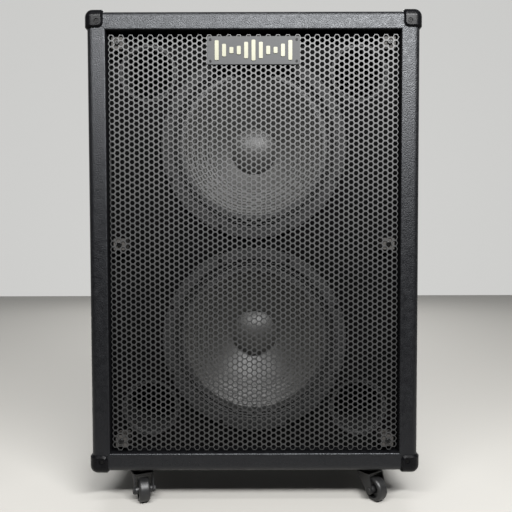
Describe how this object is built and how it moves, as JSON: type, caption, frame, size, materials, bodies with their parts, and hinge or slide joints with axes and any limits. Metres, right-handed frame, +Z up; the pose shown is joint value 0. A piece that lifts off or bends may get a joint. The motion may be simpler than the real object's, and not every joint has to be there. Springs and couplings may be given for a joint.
{
  "type": "subwoofer cabinet",
  "caption": "Tall vinyl-covered bass speaker cabinet: large woofers and ports behind a recessed hex-perforated steel grille, corner protectors, side handles and swivel casters.",
  "frame": {"origin": "on the floor, under the middle of the cabinet", "axes": "+Z up, the front with the grille faces -Y, +X is to the right seen from the front"},
  "size_m": [0.6902, 0.439, 1.0285],
  "materials": {
    "plywood": "birch plywood, unfinished inside",
    "black_board": "plywood painted matt black",
    "vinyl": "black pebbled vinyl",
    "lining": "grey fibre matting",
    "corner_plastic": "glossy black moulding",
    "dark_screw": "blackened steel",
    "black_screw": "blackened steel, glossy",
    "grille_steel": "black powder coat, satin",
    "spacer_foam": "dark foam rubber",
    "badge_grey": "dark grey satin",
    "badge_cream": "cream",
    "port_plastic": "black moulding",
    "motor_steel": "zinc plated",
    "ferrite": "dark ferrite",
    "handle_plastic": "black moulding, fine texture",
    "black_steel": "black, satin",
    "jack_nickel": "nickel plated",
    "cable_sheath": "black sheath",
    "gasket_board": "black moulded ring",
    "surround_cloth": "doped cloth",
    "cone_paper": "dark grey pressed pulp",
    "spider_cloth": "resin-treated cotton",
    "coil_metal": "plain",
    "axle_steel": "blackened steel",
    "wheel_rubber": "dark grey, slightly worn"
  },
  "bodies": {
    "cabinet": {"top_panel": "plywood", "bottom_panel": "plywood", "left_side_panel": "plywood", "right_side_panel": "plywood", "front_rails": "plywood", "rear_battens": "plywood", "centre_brace": "plywood", "front_baffle": "black_board", "rear_panel": "black_board", "vinyl_covering": "vinyl", "damping_lining": "lining", "corner_protectors_front": "corner_plastic", "corner_protectors_rear": "corner_plastic", "corner_screws": "dark_screw", "grille": "grille_steel", "grille_spacers": "spacer_foam", "grille_screws": "black_screw", "badge_plate": "badge_grey", "badge_bars": "badge_cream", "badge_rivets": "dark_screw", "port_tubes": "port_plastic", "woofer_bolts": "dark_screw", "woofer_terminals": "port_plastic", "magnet_top_plates": "motor_steel", "back_plates": "motor_steel", "magnets": "ferrite", "side_handles": "handle_plastic", "handle_screws": "dark_screw", "rear_screws": "dark_screw", "jack_plate": "black_steel", "jack_sockets": "jack_nickel", "wiring": "cable_sheath", "caster_plates": "black_steel", "caster_screws": "dark_screw", "basket_upper": "black_steel", "gasket_upper": "gasket_board", "surround_upper": "surround_cloth", "spider_upper": "spider_cloth", "basket_lower": "black_steel", "gasket_lower": "gasket_board", "surround_lower": "surround_cloth", "spider_lower": "spider_cloth"},
    "cone_assembly_upper": {"cone_upper": "cone_paper", "dust_cap_upper": "cone_paper", "voice_coil_upper": "coil_metal"},
    "cone_assembly_lower": {"cone_lower": "cone_paper", "dust_cap_lower": "cone_paper", "voice_coil_lower": "coil_metal"},
    "caster_front_left": {"fork_front_left": "black_steel", "axle_front_left": "axle_steel"},
    "roller_front_left": {"wheel_front_left": "wheel_rubber"},
    "caster_front_right": {"fork_front_right": "black_steel", "axle_front_right": "axle_steel"},
    "roller_front_right": {"wheel_front_right": "wheel_rubber"},
    "caster_rear_left": {"fork_rear_left": "black_steel", "axle_rear_left": "axle_steel"},
    "roller_rear_left": {"wheel_rear_left": "wheel_rubber"},
    "caster_rear_right": {"fork_rear_right": "black_steel", "axle_rear_right": "axle_steel"},
    "roller_rear_right": {"wheel_rear_right": "wheel_rubber"}
  },
  "joints": [
    {"name": "cone_travel_upper", "type": "slide", "parent": "cabinet", "child": "cone_assembly_upper", "axis": [0, -1, 0], "range_m": [-0.006, 0.006], "stiffness_N_per_m": 5000, "deforming": ["surround_upper", "spider_upper"]},
    {"name": "cone_travel_lower", "type": "slide", "parent": "cabinet", "child": "cone_assembly_lower", "axis": [0, -1, 0], "range_m": [-0.006, 0.006], "stiffness_N_per_m": 5000, "deforming": ["surround_lower", "spider_lower"]},
    {"name": "swivel_front_left", "type": "hinge", "parent": "cabinet", "child": "caster_front_left", "pos_m": [-0.246, -0.165, 0.062], "axis": [0, 0, 1], "continuous": true},
    {"name": "spin_front_left", "type": "hinge", "parent": "caster_front_left", "child": "roller_front_left", "pos_m": [-0.23745, -0.18849, 0.025], "axis": [0.9397, 0.342, 0], "continuous": true},
    {"name": "swivel_front_right", "type": "hinge", "parent": "cabinet", "child": "caster_front_right", "pos_m": [0.246, -0.165, 0.062], "axis": [0, 0, 1], "continuous": true},
    {"name": "spin_front_right", "type": "hinge", "parent": "caster_front_right", "child": "roller_front_right", "pos_m": [0.25925, -0.1862, 0.025], "axis": [0.848, 0.5299, 0], "continuous": true},
    {"name": "swivel_rear_left", "type": "hinge", "parent": "cabinet", "child": "caster_rear_left", "pos_m": [-0.246, 0.165, 0.062], "axis": [0, 0, 1], "continuous": true},
    {"name": "spin_rear_left", "type": "hinge", "parent": "caster_rear_left", "child": "roller_rear_left", "pos_m": [-0.25455, 0.14151, 0.025], "axis": [0.9397, -0.342, 0], "continuous": true},
    {"name": "swivel_rear_right", "type": "hinge", "parent": "cabinet", "child": "caster_rear_right", "pos_m": [0.246, 0.165, 0.062], "axis": [0, 0, 1], "continuous": true},
    {"name": "spin_rear_right", "type": "hinge", "parent": "caster_rear_right", "child": "roller_rear_right", "pos_m": [0.2585, 0.14335, 0.025], "axis": [0.866, 0.5, 0], "continuous": true}
  ]
}
